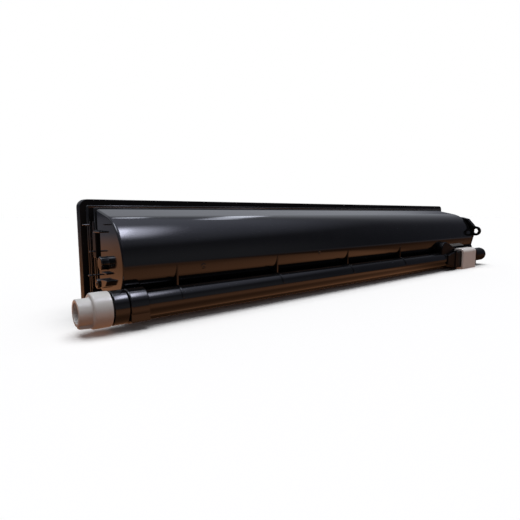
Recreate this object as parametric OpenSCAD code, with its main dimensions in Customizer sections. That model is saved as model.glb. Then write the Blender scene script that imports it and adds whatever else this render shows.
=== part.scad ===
// Long toner cartridge for an office copier. The hopper is a curved tub closed by a flat lid at its back.
// An auger runs in a channel along the lower front edge and carries the toner to an outlet with a sliding
// shutter. The auger drives a paddle in the hopper through three gears at the outlet end.
// X runs along the cartridge from the drive end, Y from front to back, and Z is up.

/* [Hopper] */
// Length of the flange and of the lid
flange_len = 450; // [380:5:520]
// Height of the flange and of the lid
flange_h = 73.5; // [73:0.5:79]
// Thickness of the tub's flange
flange_t = 2.5; // [2:0.1:3.5]
// Corner radius of the flange and of the lid
flange_corner_r = 5; // [3:0.5:7]
// Width of the flange that stands out beyond each end wall
end_margin = 9.6; // [9.4:0.1:11]
// Wall thickness of the tub
wall = 1.8; // [1.6:0.1:2.1]
// Distance from the flange to the front of the hopper
hopper_depth = 43.5; // [43:0.5:46]
// Radius of the curved upper front of the hopper
crown_r = 30; // [28:0.5:31]
// Height at which the hopper is deepest
belly_z = 34; // [33.5:0.5:35]
// Radius of the curve that turns in under the hopper's front
belly_r = 20; // [19:0.25:20.5]
// Angle of the sloping top where it meets the crown, from the horizontal
crown_slope = 12; // [9:1:14]
// Height of the hopper's floor at the flange
floor_z = 17; // [15:0.5:19]

/* [Lid] */
// Thickness of the lid's panel
lid_panel_t = 1.8; // [1.4:0.1:2.4]
// Height of the rim that stands back from the lid's panel
lid_rim_h = 4; // [2:0.5:6]
// Thickness of the lid's rim
lid_rim_t = 2.2; // [1.6:0.2:3]
// Number of cross ribs on the lid's back
lid_rib_count = 8; // [4:1:12]

/* [Auger channel] */
// Distance that the auger's axis lies behind the hopper's deepest line
auger_setback = 0.5; // [0:0.1:1]
// Height of the auger's axis
auger_z = 13; // [12.8:0.1:13.2]
// Outer radius of the channel
channel_r = 7.9; // [7.7:0.1:8.2]
// Radius of the bore in which the auger turns
bore_r = 6.3; // [6.1:0.1:6.4]
// Length of the thick ring next to the drive end wall
ring_len = 11; // [8:1:14]
// Radius of the thick ring
ring_r = 10; // [9.4:0.1:10]
// Distance between the gussets that tie the channel to the hopper
gusset_pitch = 81; // [70:1:90]
// Distance from the flange's drive end to the first gusset
gusset_start = 42; // [36:1:48]
// Thickness of a gusset
gusset_t = 1.3; // [1.1:0.1:2]
// Depth of the guide rail below the channel
rail_h = 1.6; // [1.2:0.1:1.8]

/* [Auger] */
// Radius of the auger's flight
flight_r = 5.8; // [5.4:0.1:5.9]
// Radius of the auger's core
core_r = 2.6; // [2.2:0.1:3]
// Lead of the flight
flight_lead = 19; // [17:1:24]
// Share of a turn that the flight is thick
flight_share = 0.09; // [0.07:0.01:0.12]
// Radius of the auger's two journals
journal_r = 3; // [2.7:0.1:3.2]

/* [Drive coupling] */
// Outer radius of the coupling's skirt
skirt_r = 9.9; // [9.5:0.1:10]
// Length of the coupling's skirt
skirt_len = 9.8; // [8.5:0.2:11]
// Outer radius of the coupling's nose
nose_r = 7.4; // [7:0.1:8]
// Length of the coupling's nose
nose_len = 7; // [6:0.5:9]
// Radius of the socket in the nose
socket_r = 5.4; // [5:0.1:5.8]
// Depth of the socket
socket_depth = 6; // [5:0.5:6.5]
// Width of the driving key under the nose
key_w = 4.4; // [3.4:0.2:5]
// Distance from the axis to the top of the driving key
key_r = 9.2; // [8.8:0.1:9.4]
// Outer radius of the collar between the coupling and the end wall
collar_r = 9.7; // [9.3:0.1:9.9]

/* [Agitator] */
// Distance from the flange to the agitator's axis
agitator_y = 17; // [16.5:0.5:18]
// Height of the agitator's axis
agitator_z = 35; // [34:0.5:36]
// Radius of the agitator's shaft
agitator_shaft_r = 2.4; // [2.2:0.1:2.6]
// Distance from the shaft's axis to the middle of the agitator's bars
paddle_r = 12; // [10:0.5:13]
// Number of spokes that carry the bars
spoke_count = 8; // [5:1:11]
// Reach of the film blade from the shaft's axis
film_r = 16.4; // [15:0.2:16.4]

/* [Gears] */
// Tooth module of the three gears
gear_module = 0.6; // [0.6:0.05:0.65]
// Teeth of the gear on the auger
auger_teeth = 18; // [18:1:20]
// Teeth of the gear on the agitator
agitator_teeth = 28; // [26:1:30]
// Face width of the gears
gear_w = 3.6; // [3:0.2:4]
// Depth of the gear case, from the end wall to the cover's outer face
case_depth = 6.8; // [6.6:0.2:8]
// Wall thickness of the gear cover
cover_t = 1.5; // [1.2:0.1:1.7]
// Length of the bearing boss that stands out of the gear cover
boss_len = 20; // [16:1:24]
// Radius of the bearing boss
boss_r = 8.2; // [7.8:0.1:8.6]
// Radius of the locating hole in the gear cover's ear
ear_hole_r = 2.9; // [2.5:0.1:3.1]
// Outer radius of the ear
ear_r = 5.6; // [5:0.1:6]

/* [Outlet] */
// Length of the shutter
shutter_len = 32; // [28:0.5:34]
// Distance from the closed shutter to the end of the block that it slides on
shutter_end = 8.2; // [7:0.2:10]
// Thickness of the shutter
shutter_t = 2.2; // [1.8:0.1:2.6]
// Corner radius of the block under the shutter's top edge
block_r = 2; // [1:0.2:3]
// Travel of the shutter
shutter_travel = 12.5; // [12:0.5:15]
// Length of the outlet port
port_len = 9; // [7:0.5:9]
// Width of the outlet port
port_w = 8.4; // [7:0.2:9]

/* [Hidden] */
$fn = 64;

black = [0.06, 0.06, 0.07];
dark = [0.12, 0.12, 0.13];
grey = [0.72, 0.71, 0.70];
white = [0.86, 0.82, 0.80];
natural = [0.88, 0.87, 0.82];
foam = [0.25, 0.25, 0.27];
steel = [0.7, 0.7, 0.72];

// Gap of a sliding fit, of a running shaft and of a piece that is seated
slide_gap = 0.3;
run_gap = 0.05;
seat_gap = 0.02;
eps = 0.01;

// Places of the hopper's end walls and of its section's centres
wall_x0 = end_margin;
wall_x1 = flange_len - end_margin + 2.8;
auger_y = hopper_depth - auger_setback;
crown_c = [crown_r - hopper_depth, belly_z];
belly_c = [belly_r - hopper_depth, belly_z];
auger_c = [-auger_y, auger_z];
agitator_c = [-agitator_y, agitator_z];
crown_a = 90 + crown_slope;
// Depth by which the straight slope dips under the crown's tangent, so that the two cross cleanly
slope_dip = 0.02;

// Point at radius r and angle a round the centre c
function polar(c, r, a) = [c[0] + r * cos(a), c[1] + r * sin(a)];

// Height of the hopper's top skin at the flange, for a skin set in by i
function top_z(i) = crown_c[1] + (crown_r - i - slope_dip + crown_c[0] * cos(crown_a)) / sin(crown_a);

// Foot of the floor's tangent on the auger channel, for a skin set in by i
floor_reach = norm([auger_y, floor_z - auger_z]);
floor_dip = atan2(floor_z - auger_z, auger_y) + asin(channel_r / floor_reach);
function floor_foot(i) = polar(auger_c, channel_r - i, floor_dip - 90);

// The groove between the hopper's belly and the auger channel, on the line that joins their centres
neck_a = atan2(auger_c[1] - belly_c[1], auger_c[0] - belly_c[0]);
groove_in = polar(belly_c, belly_r, neck_a);
groove_out = polar(auger_c, channel_r, neck_a - 180);
groove_dir = [cos(neck_a), sin(neck_a)];
groove_n = [-groove_dir[1], groove_dir[0]];

// Lid
lid_y = flange_t;
back_y = flange_t + lid_panel_t + lid_rim_h;

// Drive end, from the end wall outwards
collar_gap = 0.9;
collar_x0 = 1.5;
snout_x0 = collar_x0 + 0.5;
skirt_x1 = collar_x0 - collar_gap;
skirt_x0 = skirt_x1 - skirt_len;
nose_x0 = skirt_x0 - nose_len;
socket_x1 = nose_x0 + socket_depth;
key_lean = 15;
bush_len = 4;
seal_len = 3;
flight_x0 = wall_x0 + 3;

// Outlet end
block_x1 = wall_x1 - 2;
shutter_x1 = block_x1 - shutter_end;
shutter_x0 = shutter_x1 - shutter_len;
block_x0 = shutter_x0 - shutter_travel - 1;
block_front = auger_y + channel_r + 0.4;
block_back = auger_y - channel_r - 0.4;
block_z0 = slide_gap + shutter_t + 0.1;
block_z1 = auger_z + channel_r + 0.2;
stop_t = 3;
flare_len = 19;
hump_r = 8;
hump_rise = 3.7;
hump_front = 5;
port_x1 = shutter_x1 - 2.5;
port_x0 = port_x1 - port_len;
bush_x1 = wall_x1;
out_bush_x0 = bush_x1 - bush_len;
out_seal_x0 = out_bush_x0 - seal_len;
flight_x1 = port_x0 - 1;

// Gear case
case_x0 = wall_x1;
case_x1 = wall_x1 + case_depth;
gear_x0 = case_x0 + 0.7;
boss_x1 = case_x1 + boss_len;
case_inner_x1 = case_x1 - cover_t;
gear_span = norm(agitator_c - auger_c);
idler_teeth = ceil(((gear_span + 1) * 2 / gear_module - auger_teeth - agitator_teeth) / 2);
d12 = gear_module * (auger_teeth + idler_teeth) / 2;
d23 = gear_module * (idler_teeth + agitator_teeth) / 2;
span_dir = (agitator_c - auger_c) / gear_span;
along = (d12 * d12 - d23 * d23 + gear_span * gear_span) / (2 * gear_span);
aside = sqrt(d12 * d12 - along * along);
idler_c = auger_c + along * span_dir + aside * [span_dir[1], -span_dir[0]];
a12 = atan2(idler_c[1] - auger_c[1], idler_c[0] - auger_c[0]);
a23 = atan2(agitator_c[1] - idler_c[1], agitator_c[0] - idler_c[0]);
auger_phase = a12;
idler_phase = a12 + 180 + 180 / idler_teeth;
agitator_phase = a23 + 180 + 180 / agitator_teeth - (idler_phase - a23) * idler_teeth / agitator_teeth;
idler_pin_r = 1.8;
gear_hub_r = 4;
tip_r = 0.95;
gear_room = 1;

// Ear of the gear cover
ear_c = [-hopper_depth - 3.4, belly_z + 8.8];
ear_t = 3;

// Overall box, for the origin at the middle of the footprint
x_min = nose_x0;
x_max = boss_x1;
y_front = max(block_front + slide_gap + shutter_t, auger_y + max(skirt_r, collar_r, ring_r), -ear_c[0] + ear_r);
origin = [(x_min + x_max) / 2, (back_y - y_front) / 2, 0];

// Extrudes an outline in the Y and Z directions along X, from x0 to x1
module along_x(x0, x1) {
    translate([x0, 0, 0]) rotate([90, 0, 90]) linear_extrude(x1 - x0) children();
}

// Solid of revolution round an axis along X, through the centre c. The outline gives radius and X.
module turned(c) {
    translate([0, c[0], c[1]]) rotate([0, 90, 0]) rotate_extrude() children();
}

// Round bar along X
module bar_x(c, r, x0, x1) {
    translate([x0, c[0], c[1]]) rotate([0, 90, 0]) cylinder(r = r, h = x1 - x0);
}

// Box given by its two corners
module box(a, b) {
    translate(a) cube(b - a);
}

// Disc on an axis along X, with both rims rounded by f
module round_disc(c, r, x0, x1, f) {
    turned(c) {
        translate([0, x0]) square([r - f, x1 - x0]);
        translate([0, x0 + f]) square([r, x1 - x0 - 2 * f]);
        if (f > 0)
            for (x = [x0 + f, x1 - f]) translate([r - f, x]) circle(f);
    }
}

// Rounded plate that stands upright, from y0 to y1
module flange_plate(inset, y0, y1) {
    r = flange_corner_r - min(inset, flange_corner_r - 1);
    translate([0, y1, 0]) rotate([90, 0, 0]) linear_extrude(y1 - y0) {
        translate([inset + r, inset]) square([flange_len - 2 * inset - 2 * r, flange_h - 2 * inset]);
        translate([inset, inset + r]) square([flange_len - 2 * inset, flange_h - 2 * inset - 2 * r]);
        for (x = [inset + r, flange_len - inset - r], z = [inset + r, flange_h - inset - r])
            translate([x, z]) circle(r);
    }
}

// Section of the hopper's lower part with the floor, set in by i
module lower_section(i) {
    rise = i / cos(floor_dip);
    polygon(concat(
        [[flange_t, belly_z + 2], [belly_c[0] - 6, belly_z + 2], polar(belly_c, belly_r * 0.7, neck_a - 20)],
        i > 0 ? [polar(belly_c, belly_r - i, neck_a)] : [],
        [groove_in + i * groove_n, groove_out + i * groove_n],
        i > 0 ? [polar(auger_c, channel_r - i, neck_a - 180)] : [],
        [auger_c, floor_foot(i), [0, floor_z + rise], [flange_t, floor_z + rise]]));
}

// Section of the hopper with its auger channel's throat, set in by i
module hopper_section(i) {
    r = crown_r - i;
    intersection() {
        translate(crown_c) circle(r);
        translate([-hopper_depth - 5, belly_z]) square([hopper_depth - 1, r + 5]);
    }
    intersection() {
        translate(belly_c) circle(belly_r - i);
        translate([-hopper_depth - 5, belly_z - belly_r - 5])
            square([hopper_depth + 5, belly_r + 5]);
    }
    polygon([[flange_t, belly_z - 2], [flange_t, top_z(i)], [0, top_z(i)], polar(crown_c, r - slope_dip, crown_a),
        polar(crown_c, r * 0.6, crown_a + 30), [crown_c[0] - 8, belly_z - 2]]);
    lower_section(i);
}

// The hopper's outer form, or its hollow where i is the wall, from x0 to x1
module hopper_form(i, x0, x1) {
    along_x(x0, x1) hopper_section(i);
}

// One gusset between the belly and the channel, with the low rib that it carries on over the channel
module gusset(x) {
    band_r = channel_r + 0.6;
    along_x(x, x + gusset_t) {
        difference() {
            polygon([[-hopper_depth, belly_z], [-hopper_depth, auger_z + channel_r - 2],
                groove_out + [0.3, -1], groove_in + [0.6, 0.3], [belly_c[0], belly_z]]);
            translate(belly_c) circle(belly_r - 0.5);
        }
        intersection() {
            translate(auger_c) circle(band_r);
            polygon([auger_c, auger_c + [-20, 4], auger_c + [-20, 20], auger_c + [3, 20]]);
        }
    }
}

// Ribs, pads and pegs on the drive end wall
peg_c = [-9.5, belly_z - 12.5];
module drive_wall_details() {
    rail_y = -2.4;
    for (x = [wall_x0 - 4.9, wall_x0 - 2.6])
        box([x, rail_y, floor_z + 1], [x + 0.8, eps, belly_z + 25.5]);
    for (rung = [[-8.6, -6.8, 0.4], [6.4, -5.6, -1.2], [19.4, -2.6, 0], [23.2, -8.8, -4]])
        box([wall_x0 + rung[1], rail_y, belly_z + rung[0]],
            [wall_x0 + min(rung[2], eps), eps, belly_z + rung[0] + 0.8]);
    box([wall_x0 - 3, -6, belly_z + 3], [wall_x0 + eps, eps, belly_z + 19]);
    box([wall_x0 - 3, -14, belly_z + 19], [wall_x0 + eps, -2, belly_z + 20]);
    box([wall_x0 - 2.4, -22, belly_z - 5.6], [wall_x0 + eps, -13, belly_z - 4.6]);
    bar_x(peg_c, 3, wall_x0 - 5, wall_x0 + eps);
    along_x(wall_x0 - 3.4, wall_x0 + eps)
        polygon([peg_c + [0, -2.8], peg_c + [0, 2.8], peg_c + [-16.5, 3.9], peg_c + [-12.5, 0.1]]);
    bar_x(agitator_c, agitator_shaft_r + 1.6, wall_x0 - 4.6, wall_x0 + eps);
}

// Bosses on the outlet end wall, for the cover's screws
screw_r = 1.2;
screw_head_r = 2.4;
screw_spots = [[-7.5, belly_z + 22], [-6.5, belly_z - 12], [8 - hopper_depth, belly_z + 13]];
module outlet_wall_details() {
    for (p = screw_spots) bar_x(p, 2.6, wall_x1 - eps, case_inner_x1);
}

// Square block round the channel at the outlet, with its stop for the shutter
module outlet_block() {
    along_x(block_x0, block_x1) block_section(0);
    box([block_x0 - stop_t, -block_front - 1.4, block_z0 - 1.2], [block_x0, -block_back, block_z1 + 1.2]);
    from_front(block_front + 0.6, block_front + 0.6 - auger_y)
        polygon([[block_x0 - flare_len, -block_z0 - 5.5], [block_x0 - stop_t + eps, -block_z0],
            [block_x0 - stop_t + eps, -block_z1 + 0.4], [block_x0 - flare_len, -block_z1 + 3]]);
    outlet_hump();
}

// Extrudes an outline in the X and Z directions from y = -front towards the flange. The outline has Z downwards.
module from_front(front, depth) {
    translate([0, -front, 0]) rotate([-90, 0, 0]) linear_extrude(depth) children();
}

// Section of the block, with its upper front corner rounded, made larger by g
module block_section(g) {
    c = [-block_front + block_r, block_z1 - block_r];
    y1 = -block_back + g;
    translate([-block_front - g, block_z0 - g]) square([y1 + block_front + g, c[1] - block_z0 + g]);
    translate([c[0], block_z0 - g]) square([y1 - c[0], block_z1 - block_z0 + 2 * g]);
    translate(c) circle(block_r + g);
}

// Rounded swelling in front of the hopper over the block, clear of the open shutter
module outlet_hump() {
    c = [block_x0 - flare_len, -block_z1 - hump_rise];
    clear_z = block_z1 + 2 * slide_gap + shutter_t;
    from_front(hopper_depth + hump_front, hump_front + 4) {
        translate(c) circle(hump_r);
        polygon([[c[0] - hump_r, -auger_z], [c[0] - hump_r, c[1]], c, polar(c, hump_r - slope_dip, -70),
            [block_x0 + 6.5, -clear_z], [block_x0 - stop_t, -clear_z], [block_x0 - stop_t, -auger_z]]);
    }
}

// Grooves in which the shutter's lips run
lip_depth = 0.9;
lip_w = 1.4;
lip_y = auger_y + 1.4;
low_lip_y = auger_y + 3.8;
module shutter_grooves() {
    g = slide_gap;
    box([block_x0 - eps, -lip_y - g, block_z1 - lip_depth], [block_x1 + eps, -lip_y + lip_w + g, block_z1 + 2]);
    box([block_x0 - eps, -low_lip_y - g, block_z0 - 2],
        [block_x1 + eps, -low_lip_y + lip_w + g, block_z0 + lip_depth]);
}

// The outlet port, made larger by g and reaching from y0 to y1
module outlet_port(g, y0, y1) {
    box([port_x0 - g, y0, auger_z - port_w / 2 - g], [port_x1 + g, y1, auger_z + port_w / 2 + g]);
}
port_rim = 1.6;
outlet_seal_t = 1;

module hopper_tub() {
    color(black) difference() {
        tub_skin();
        bar_x(auger_c, bore_r, snout_x0 - 1, wall_x1 + 1);
        bar_x(agitator_c, agitator_shaft_r + run_gap, wall_x0 - 3.2, wall_x0 + wall + 1);
        bar_x(agitator_c, agitator_shaft_r + 1.6, wall_x1 - wall - 1, wall_x1 + 1);
        for (p = screw_spots) bar_x(p, screw_r + run_gap, wall_x1 + 0.4, case_inner_x1 + 1);
        bar_x(idler_c, idler_pin_r + seat_gap, wall_x1 - 2.4, wall_x1 + 2);
        shutter_grooves();
        outlet_port(0, -block_front - 5, -auger_y);
        outlet_port(port_rim, -block_front - 5, -block_front + outlet_seal_t);
    }
}

// The tub before its bores are cut. The channel's throat is open to the hopper up to the outlet block,
// and past it the auger runs in a closed tube.
module tub_skin() {
    difference() {
        union() {
            flange_plate(0, 0, flange_t);
            hopper_form(0, wall_x0, wall_x1);
            bar_x(auger_c, channel_r, snout_x0, wall_x1);
            bar_x(auger_c, ring_r, wall_x0 + 0.4, wall_x0 + 0.4 + ring_len);
            box([wall_x0 + 0.4, -auger_y - ring_r + 0.6, auger_z - channel_r],
                [wall_x0 + 0.4 + ring_len, -auger_y + ring_r - 1, auger_z - 1]);
            box([wall_x0 + ring_len, -auger_y - 1.2, auger_z - channel_r - rail_h],
                [block_x0 - stop_t, -auger_y + 1.2, auger_z - channel_r + 1]);
            for (x = [gusset_start : gusset_pitch : block_x0 - 15]) gusset(x);
            flange_bead();
            drive_wall_details();
            outlet_wall_details();
            outlet_block();
        }
        hopper_form(wall, wall_x0 + wall, wall_x1 - wall);
    }
    bar_x(auger_c, channel_r, block_x0 - stop_t, wall_x1);
    bar_x(idler_c, 3.2, wall_x1 - 3.4, wall_x1 + 0.5);
}

// Raised bead round the flange's front face, and the low ledge at the hopper's root
module flange_bead() {
    inset = 3.8;
    difference() {
        flange_plate(inset, -0.8, eps);
        flange_plate(inset + 1.1, -1, flange_t);
        box([wall_x0, -2, 0], [wall_x1, flange_t, floor_z]);
    }
    box([wall_x0 - 1.4, -1.4, floor_z + 2], [wall_x1 + 1.4, eps, top_z(0) + 0.7]);
}

// Block that fills the tub's mouth, smaller by g on every side
lid_tongue_t = 1.5;
module lid_tongue(g, y0, y1) {
    box([wall_x0 + wall + g, y0, floor_z + wall / cos(floor_dip) + g],
        [wall_x1 - wall - g, y1, top_z(wall) - g]);
}

module hopper_lid() {
    panel_y = lid_y + lid_panel_t;
    pitch = (flange_len - 2 * lid_rim_t) / (lid_rib_count + 1);
    color(dark) difference() {
        union() {
            flange_plate(0, lid_y, back_y);
            difference() {
                lid_tongue(slide_gap, 0.6, lid_y + eps);
                lid_tongue(slide_gap + lid_tongue_t, 0, lid_y);
            }
        }
        difference() {
            flange_plate(lid_rim_t, panel_y, back_y + 1);
            for (n = [1 : lid_rib_count])
                box([lid_rim_t + n * pitch - 0.7, panel_y - 1, lid_rim_t - 1],
                    [lid_rim_t + n * pitch + 0.7, panel_y + lid_rim_h * 0.5, flange_h - lid_rim_t + 1]);
            box([lid_rim_t - 1, panel_y - 1, flange_h / 2 - 0.7],
                [flange_len - lid_rim_t + 1, panel_y + lid_rim_h * 0.5, flange_h / 2 + 0.7]);
        }
    }
}

module drive_end_collar() {
    color(black) turned(auger_c) {
        difference() {
            union() {
                translate([0, collar_x0]) square([collar_r - 0.4, wall_x0 - collar_x0 - seat_gap]);
                translate([0, collar_x0 + 0.4]) square([collar_r, wall_x0 - collar_x0 - 0.8 - seat_gap]);
            }
            translate([-1, snout_x0 - eps]) square([channel_r + seat_gap + 1, 20]);
            translate([-1, collar_x0 - 1]) square([channel_r - 1.2, 20]);
        }
    }
}

// Ring on the auger's axis
module auger_ring(r0, r1, x0, x1) {
    turned(auger_c) translate([r0, x0]) square([r1 - r0, x1 - x0]);
}

module auger_bush_drive_end() {
    color(natural) {
        auger_ring(journal_r + run_gap, bore_r - seat_gap, snout_x0 + 0.2, snout_x0 + 0.2 + bush_len);
    }
}

module auger_seal_drive_end() {
    x = snout_x0 + 0.2 + bush_len;
    color(foam) auger_ring(journal_r + run_gap, bore_r - seat_gap, x, x + seal_len);
}

module auger_seal_outlet_end() {
    color(foam) auger_ring(journal_r + run_gap, bore_r - seat_gap, out_seal_x0, out_seal_x0 + seal_len);
}

module auger_bush_outlet_end() {
    color(natural) auger_ring(journal_r + run_gap, bore_r - seat_gap, out_bush_x0, bush_x1);
}

module agitator_seal() {
    color(foam) turned(agitator_c)
        translate([agitator_shaft_r + run_gap, wall_x1 - wall - 1.6]) square([2.6, 1.6]);
}

module agitator_bush() {
    flange_x = wall_x1 - wall;
    color(natural) turned(agitator_c) {
        translate([agitator_shaft_r + run_gap, flange_x])
            square([1.6 - run_gap - seat_gap, wall + 0.4]);
    }
}

module idler_pin() {
    color(steel) {
        bar_x(idler_c, idler_pin_r, wall_x1 - 2.3, case_inner_x1 + 0.5);
    }
}

// Outline of an involute gear with a tooth at angle 0
function inv(a) = tan(a) * 180 / PI - a;
function gear_points(z, m, thin) =
    let (rp = m * z / 2, rb = rp * cos(20), rf = rp - 1.3 * m, ra = rp + tip_r * m,
         half = 90 / z - thin / rp * 90 / PI, steps = 4)
    [for (k = [0 : z - 1]) each concat(
        [for (s = [0 : steps]) let (r = max(rb, rf) + (ra - max(rb, rf)) * s / steps,
            w = half + inv(20) - inv(acos(min(1, rb / r)))) polar([0, 0], r, 360 * k / z - w)],
        [for (s = [steps : -1 : 0]) let (r = max(rb, rf) + (ra - max(rb, rf)) * s / steps,
            w = half + inv(20) - inv(acos(min(1, rb / r)))) polar([0, 0], r, 360 * k / z + w)],
        [polar([0, 0], rf, 360 * k / z + half + inv(20) + 0.2),
         polar([0, 0], rf, 360 * (k + 1) / z - half - inv(20) - 0.2)])];

// Gear on an axis along X, with a hub towards the end wall and a recessed web
module gear(c, z, phase, hole_r, x0, hub_r) {
    rp = gear_module * z / 2;
    difference() {
        union() {
            along_x(x0, x0 + gear_w) translate(c) rotate(phase) polygon(gear_points(z, gear_module, 0.12));
            bar_x(c, hub_r, x0 - 0.15, x0 + gear_w + 0.5);
        }
        bar_x(c, hole_r, x0 - 1, x0 + gear_w + 2);
        if (rp > hub_r + 3)
            turned(c) translate([hub_r + 0.6, x0 + gear_w - 1]) square([rp - hub_r - 2.6, 2]);
    }
}

module auger_gear() {
    color(natural) gear(auger_c, auger_teeth, auger_phase, journal_r + seat_gap, gear_x0, journal_r + 1.2);
}

module idler_gear() {
    color(natural) gear(idler_c, idler_teeth, idler_phase, idler_pin_r + run_gap, gear_x0, gear_hub_r);
}

module agitator_gear() {
    color(natural)
        gear(agitator_c, agitator_teeth, agitator_phase, agitator_shaft_r + seat_gap, gear_x0, gear_hub_r);
}

// Outline of the gear cover, set in by i
module cover_outline(i) {
    f = -hopper_depth;
    z = belly_z;
    translate(auger_c) circle(boss_r - i);
    translate(idler_c) circle(gear_module * (idler_teeth / 2 + tip_r) + gear_room + cover_t - i);
    translate(agitator_c) circle(gear_module * (agitator_teeth / 2 + tip_r) + gear_room + cover_t + 2 - i);
    polygon([[-2 - i, z - 17 + i], [-2 - i, z + 28 - i], [f + 14.5 + i * 0.6, z + 25.4 - i],
        [f + 6.9 + i * 0.8, z + 23.4 - i * 0.9], [f - 0.2 + i, z + 15.6 - i * 0.4],
        [f + 0.6 + i, z + 2 + i * 0.3], [f + 3.2 + i * 0.8, z - 9 + i * 0.5], [f + 10, z - 17 + i]]);
    polygon([auger_c, auger_c + [2, boss_r - i], idler_c + [-2, 6], idler_c + [0, -6], auger_c + [2, -boss_r + i]]);
}

module gear_cover() {
    color(black) difference() {
        union() {
            along_x(case_x0 + seat_gap, case_x1) cover_outline(0);
            round_disc(auger_c, boss_r - 0.3, case_x1 - 1, boss_x1, 2);
            along_x(case_x0 + 1, case_x0 + 1 + ear_t) {
                translate(ear_c) circle(ear_r);
                translate(ear_c) polygon([[0, 0], [0, ear_r], [6, ear_r + 2], [6, -ear_r], [0, -ear_r]]);
            }
        }
        along_x(case_x0 - 1, case_inner_x1) cover_outline(cover_t);
        bar_x(ear_c, ear_hole_r, case_x0 - 1, case_x1 + 1);
        bar_x(auger_c, journal_r + run_gap, case_inner_x1 - 1, boss_x1 - 3);
        for (p = screw_spots) bar_x(p, screw_r + 0.3, case_x0, case_x1 + 1);
        bar_x(idler_c, idler_pin_r + 0.1, case_inner_x1 - 1, case_inner_x1 + 0.6);
    }
}

module gear_cover_screws() {
    head_x = case_x1 + seat_gap;
    color(steel) for (p = screw_spots) difference() {
        union() {
            bar_x(p, screw_r, case_x0 + 0.6, head_x + 0.5);
            turned(p) {
                translate([0, head_x]) square([screw_head_r, 0.9]);
                translate([0, head_x]) square([screw_head_r - 0.6, 1.5]);
                translate([screw_head_r - 0.6, head_x + 0.9]) circle(0.6);
            }
        }
        for (a = [0, 90])
            translate([head_x + 0.7, p[0], p[1]]) rotate([a, 0, 0]) box([0, -0.3, -1.5], [2, 0.3, 1.5]);
    }
}

module outlet_seal() {
    color(foam) difference() {
        outlet_port(port_rim - seat_gap, -block_front, -block_front + outlet_seal_t - seat_gap);
        outlet_port(0.1, -block_front - 5, -auger_y);
    }
}

// Section of the auger: its core with one flight
module auger_section() {
    half = flight_share * 180;
    circle(core_r, $fn = 10);
    polygon([[0, 0], polar([0, 0], flight_r, -half), polar([0, 0], flight_r * 1.01, 0),
        polar([0, 0], flight_r, half)]);
}

module auger_screw() {
    turns = (flight_x1 - flight_x0) / flight_lead;
    color(natural) {
        translate([flight_x0, auger_c[0], auger_c[1]]) rotate([90, 0, 90])
            linear_extrude(flight_x1 - flight_x0, twist = -360 * turns, slices = round(turns * 13), $fn = 8)
                auger_section();
        bar_x(auger_c, journal_r, socket_x1, flight_x0);
        bar_x(auger_c, journal_r, flight_x1, boss_x1 - 4);
    }
}

module drive_coupling() {
    color(grey) difference() {
        union() {
            round_disc(auger_c, skirt_r, skirt_x0, skirt_x1 + 3, 1.2);
            turned(auger_c) {
                translate([0, nose_x0 + 0.5]) square([nose_r, nose_len + 2]);
                translate([0, nose_x0]) square([nose_r - 0.5, nose_len]);
            }
            translate([0, auger_c[0], auger_c[1]]) rotate([-key_lean, 0, 0]) from_front(key_w / 2, key_w)
                polygon([[nose_x0 + 0.4, nose_r - 1], [nose_x0 + 0.4, key_r - 1.2], [nose_x0 + 1.6, key_r - 0.4],
                    [skirt_x0 + 2, key_r], [skirt_x0 + 2, nose_r - 1]]);
        }
        bar_x(auger_c, skirt_r + 1, skirt_x1, skirt_x1 + 10);
        turned(auger_c) translate([journal_r + 1.6, skirt_x0 + 2.4]) square([skirt_r - 1.8 - journal_r - 1.6, 30]);
        bar_x(auger_c, socket_r, nose_x0 - 1, socket_x1);
        bar_x(auger_c, journal_r + seat_gap, nose_x0, skirt_x1 + 1);
    }
}

module thrust_washer() {
    color(steel) auger_ring(journal_r + seat_gap, bore_r - 0.7, skirt_x1 + seat_gap, snout_x0 + 0.2 - slide_gap);
}

// Frame of the agitator: shaft, spokes and two bars
module agitator_frame() {
    x0 = wall_x0 + wall + 4;
    x1 = wall_x1 - wall - 6;
    pitch = (x1 - x0 - 2) / (spoke_count - 1);
    color(natural) {
        bar_x(agitator_c, agitator_shaft_r, wall_x0 - 3, gear_x0 + gear_w + 0.5);
        for (n = [0 : spoke_count - 1])
            box([x0 + n * pitch, agitator_c[0] - 0.9, agitator_c[1] - paddle_r - 1],
                [x0 + n * pitch + 2, agitator_c[0] + 0.9, agitator_c[1] + paddle_r + 1]);
        for (s = [-1, 1])
            box([x0, agitator_c[0] - 0.9, agitator_c[1] + s * paddle_r - 1.2],
                [x1, agitator_c[0] + 0.9, agitator_c[1] + s * paddle_r + 1.2]);
    }
}

module agitator_film() {
    film_t = 0.4;
    x0 = wall_x0 + wall + 4;
    x1 = wall_x1 - wall - 6;
    slits = 6;
    color([0.5, 0.6, 0.65]) difference() {
        box([x0, agitator_c[0] - 0.9 - film_t, agitator_c[1] + paddle_r - 1.2],
            [x1, agitator_c[0] - 0.9, agitator_c[1] + film_r]);
        for (n = [1 : slits])
            box([x0 + n * (x1 - x0) / (slits + 1), agitator_c[0] - 5, agitator_c[1] + paddle_r + 1.6],
                [x0 + n * (x1 - x0) / (slits + 1) + 1, agitator_c[0] + 5, agitator_c[1] + film_r + 1]);
    }
}

module outlet_shutter() {
    color(white) along_x(shutter_x0, shutter_x1) shutter_section();
}

// Section of the shutter: a skin round the block's front, cut off past its two lips
module shutter_section() {
    mid_z = (block_z0 + block_z1) / 2;
    difference() {
        block_section(slide_gap + shutter_t);
        block_section(slide_gap);
        translate([-lip_y + lip_w, mid_z]) square([50, 50]);
        translate([-low_lip_y + lip_w, -25]) square([50, mid_z + 25]);
    }
    translate([-lip_y, block_z1 - lip_depth + slide_gap]) square([lip_w, lip_depth + 1]);
    translate([-low_lip_y, block_z0 - slide_gap - 1]) square([lip_w, lip_depth + 1 - eps]);
}

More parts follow.
